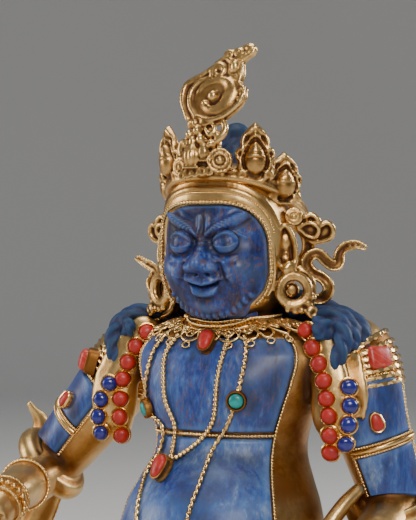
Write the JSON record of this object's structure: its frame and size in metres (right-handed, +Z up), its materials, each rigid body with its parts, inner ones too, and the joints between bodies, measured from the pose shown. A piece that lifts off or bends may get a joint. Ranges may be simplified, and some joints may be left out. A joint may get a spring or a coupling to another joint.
{
  "type": "jambhala statue",
  "caption": "Seated wrathful wealth deity in gilt copper with lapis lazuli face, torso and arm inlay, coral and turquoise cabochons, on an oval lotus base.",
  "frame": {"origin": "centre of the lotus base's underside, on the ground", "axes": "+Z up, the figure faces -Y, its own left hand is towards +X"},
  "size_m": [0.2171, 0.1614, 0.3005],
  "materials": {
    "gilt_copper": "antiqued fire-gilt copper, satin with brown recesses",
    "lapis": "polished lapis lazuli with pale and rust-brown veins",
    "coral": "polished red coral",
    "turquoise": "polished turquoise"
  },
  "bodies": {
    "root": {"bead_necklace": "gilt_copper", "belt_wire": "gilt_copper", "coral_block_left": "coral", "coral_block_right": "coral", "coral_drop_collar": "coral", "coral_drop_left_arm": "coral", "coral_drop_necklace": "coral", "coral_drop_right_arm": "coral", "coral_left_1": "coral", "coral_left_2": "coral", "coral_left_3": "coral", "coral_left_4": "coral", "coral_left_5": "coral", "coral_left_6": "coral", "coral_left_7": "coral", "coral_left_8": "coral", "coral_oval_left": "coral", "coral_oval_right": "coral", "coral_right_1": "coral", "coral_right_2": "coral", "coral_right_3": "coral", "coral_right_4": "coral", "coral_right_5": "coral", "coral_right_6": "coral", "coral_right_7": "coral", "crown": "gilt_copper", "face_rim_wire": "gilt_copper", "gilt_figure": "gilt_copper", "lapis_belly": "lapis", "lapis_chest": "lapis", "lapis_face": "lapis", "lapis_left_1": "lapis", "lapis_left_2": "lapis", "lapis_left_3": "lapis", "lapis_left_4": "lapis", "lapis_left_arm_lower": "lapis", "lapis_left_arm_upper": "lapis", "lapis_right_1": "lapis", "lapis_right_2": "lapis", "lapis_right_3": "lapis", "lapis_right_4": "lapis", "lapis_right_arm_lower": "lapis", "lapis_right_arm_upper": "lapis", "lapis_throat": "lapis", "left_arm_band": "gilt_copper", "left_arm_wire": "gilt_copper", "left_border_wire": "gilt_copper", "left_chain": "gilt_copper", "lotus_base": "gilt_copper", "necklace_collar": "gilt_copper", "right_arm_band": "gilt_copper", "right_arm_wire": "gilt_copper", "right_border_wire": "gilt_copper", "right_chain": "gilt_copper", "turquoise_armlet_left": "turquoise", "turquoise_armlet_right": "turquoise", "turquoise_left": "turquoise", "turquoise_right": "turquoise"}
  },
  "joints": []
}
